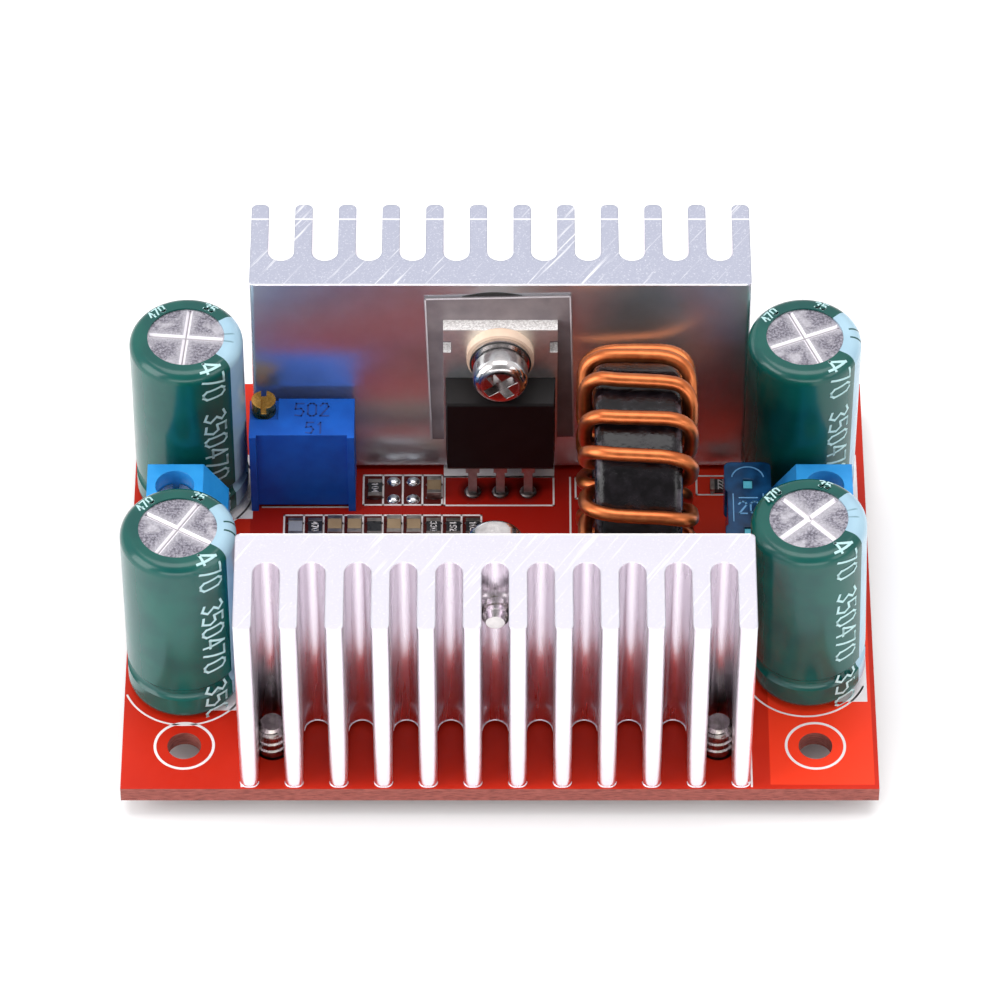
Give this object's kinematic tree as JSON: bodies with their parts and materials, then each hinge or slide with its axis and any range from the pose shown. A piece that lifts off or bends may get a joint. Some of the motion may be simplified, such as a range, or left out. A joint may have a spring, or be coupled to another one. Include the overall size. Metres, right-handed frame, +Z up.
{
  "type": "boost converter module",
  "caption": "Step-up power converter board with finned heatsinks, power devices, a wound ring inductor, capacitors, clamp terminals, trimmers and a blade fuse.",
  "frame": {"origin": "middle of the module, level with the bottoms of the heatsink screw heads it stands on", "axes": "+X along the board's length to the right-hand terminal block, +Y across the board to the rear heatsink, +Z up"},
  "size_m": [0.067, 0.0504, 0.0288],
  "materials": {
    "board": "red solder mask on glass laminate, satin",
    "heatsink": "bare extruded, saw-cut ends",
    "steel": "zinc plated",
    "bright_screw": "bright nickel plated",
    "moulding": "black moulding compound",
    "tab": "tinned metal, satin",
    "leads": "tinned, satin",
    "solder": "solder, bright",
    "pad": "grey thermal pad, matt",
    "bush": "pale insulating plastic",
    "core": "gloss black coating",
    "copper": "enamelled copper, gloss",
    "can": "drawn aluminium, satin",
    "sleeve": "green shrink sleeve",
    "seal": "black rubber",
    "terminal": "bright blue moulded plastic",
    "clamp": "zinc plated",
    "trimmer": "blue moulded plastic",
    "brass": "bare brass",
    "fuse": "dark blue clear plastic",
    "chip_body": "black glaze",
    "chip_tan": "tan ceramic"
  },
  "bodies": {
    "module": {"circuit_board": "board", "front_heatsink": "heatsink", "rear_heatsink": "heatsink", "heatsink_screws": "steel", "front_device_body": "moulding", "front_device_tab": "tab", "front_device_legs": "leads", "front_device_screw": "bright_screw", "front_flat_washer": "bright_screw", "front_spring_washer": "bright_screw", "rear_device_body": "moulding", "rear_device_tab": "tab", "rear_device_legs": "leads", "rear_device_screw": "bright_screw", "rear_insulating_pad": "pad", "rear_insulating_bush": "bush", "rear_flat_washer": "bright_screw", "rear_spring_washer": "bright_screw", "inductor_core": "core", "inductor_winding": "copper", "front_left_can": "can", "front_right_can": "can", "rear_left_can": "can", "rear_right_can": "can", "front_left_sleeve": "sleeve", "front_right_sleeve": "sleeve", "rear_left_sleeve": "sleeve", "rear_right_sleeve": "sleeve", "capacitor_seals": "seal", "capacitor_leads": "leads", "left_terminal_housing": "terminal", "right_terminal_housing": "terminal", "terminal_pins": "leads", "rear_trimmer_housing": "trimmer", "front_trimmer_housing": "trimmer", "trimmer_pins": "leads", "fuse_housing": "fuse", "fuse_blades": "leads", "chip_resistors": "chip_body", "chip_capacitors": "chip_tan", "chip_end_caps": "leads", "controller_body": "moulding", "controller_legs": "leads", "solder_joints": "solder"},
    "rear_adjuster": {"rear_trimmer_screw": "brass"},
    "front_adjuster": {"front_trimmer_screw": "brass"},
    "left_front_clamp": {"left_front_clamp_screw": "clamp"},
    "left_front_cage": {"left_front_clamp_cage": "clamp"},
    "left_rear_clamp": {"left_rear_clamp_screw": "clamp"},
    "left_rear_cage": {"left_rear_clamp_cage": "clamp"},
    "right_front_clamp": {"right_front_clamp_screw": "clamp"},
    "right_front_cage": {"right_front_clamp_cage": "clamp"},
    "right_rear_clamp": {"right_rear_clamp_screw": "clamp"},
    "right_rear_cage": {"right_rear_clamp_cage": "clamp"}
  },
  "joints": [
    {"name": "rear_adjuster_turn", "type": "hinge", "parent": "module", "child": "rear_adjuster", "pos_m": [-0.0214, 0.012, 0.0135], "axis": [0, 0, -1], "continuous": true},
    {"name": "front_adjuster_turn", "type": "hinge", "parent": "module", "child": "front_adjuster", "pos_m": [-0.01447, -0.012, 0.0135], "axis": [0, 0, -1], "continuous": true},
    {"name": "left_front_clamp_turn", "type": "hinge", "parent": "module", "child": "left_front_clamp", "pos_m": [-0.02917, -0.00234, 0.0108], "axis": [0, 0, -1], "range_deg": [0, 960.1]},
    {"name": "left_front_cage_rise", "type": "slide", "parent": "module", "child": "left_front_cage", "axis": [0, 0, 1], "range_m": [0, 0.0012]},
    {"name": "left_rear_clamp_turn", "type": "hinge", "parent": "module", "child": "left_rear_clamp", "pos_m": [-0.02917, 0.00274, 0.0108], "axis": [0, 0, -1], "range_deg": [0, 960.1]},
    {"name": "left_rear_cage_rise", "type": "slide", "parent": "module", "child": "left_rear_cage", "axis": [0, 0, 1], "range_m": [0, 0.0012]},
    {"name": "right_front_clamp_turn", "type": "hinge", "parent": "module", "child": "right_front_clamp", "pos_m": [0.02917, -0.00234, 0.0108], "axis": [0, 0, -1], "range_deg": [0, 960.1]},
    {"name": "right_front_cage_rise", "type": "slide", "parent": "module", "child": "right_front_cage", "axis": [0, 0, 1], "range_m": [0, 0.0012]},
    {"name": "right_rear_clamp_turn", "type": "hinge", "parent": "module", "child": "right_rear_clamp", "pos_m": [0.02917, 0.00274, 0.0108], "axis": [0, 0, -1], "range_deg": [0, 960.1]},
    {"name": "right_rear_cage_rise", "type": "slide", "parent": "module", "child": "right_rear_cage", "axis": [0, 0, 1], "range_m": [0, 0.0012]}
  ],
  "couplings": [
    {"joint": "left_front_clamp_turn", "follows": "left_front_cage_rise", "rad_per_m": 13963},
    {"joint": "left_rear_clamp_turn", "follows": "left_rear_cage_rise", "rad_per_m": 13963},
    {"joint": "right_front_clamp_turn", "follows": "right_front_cage_rise", "rad_per_m": 13963},
    {"joint": "right_rear_clamp_turn", "follows": "right_rear_cage_rise", "rad_per_m": 13963}
  ]
}
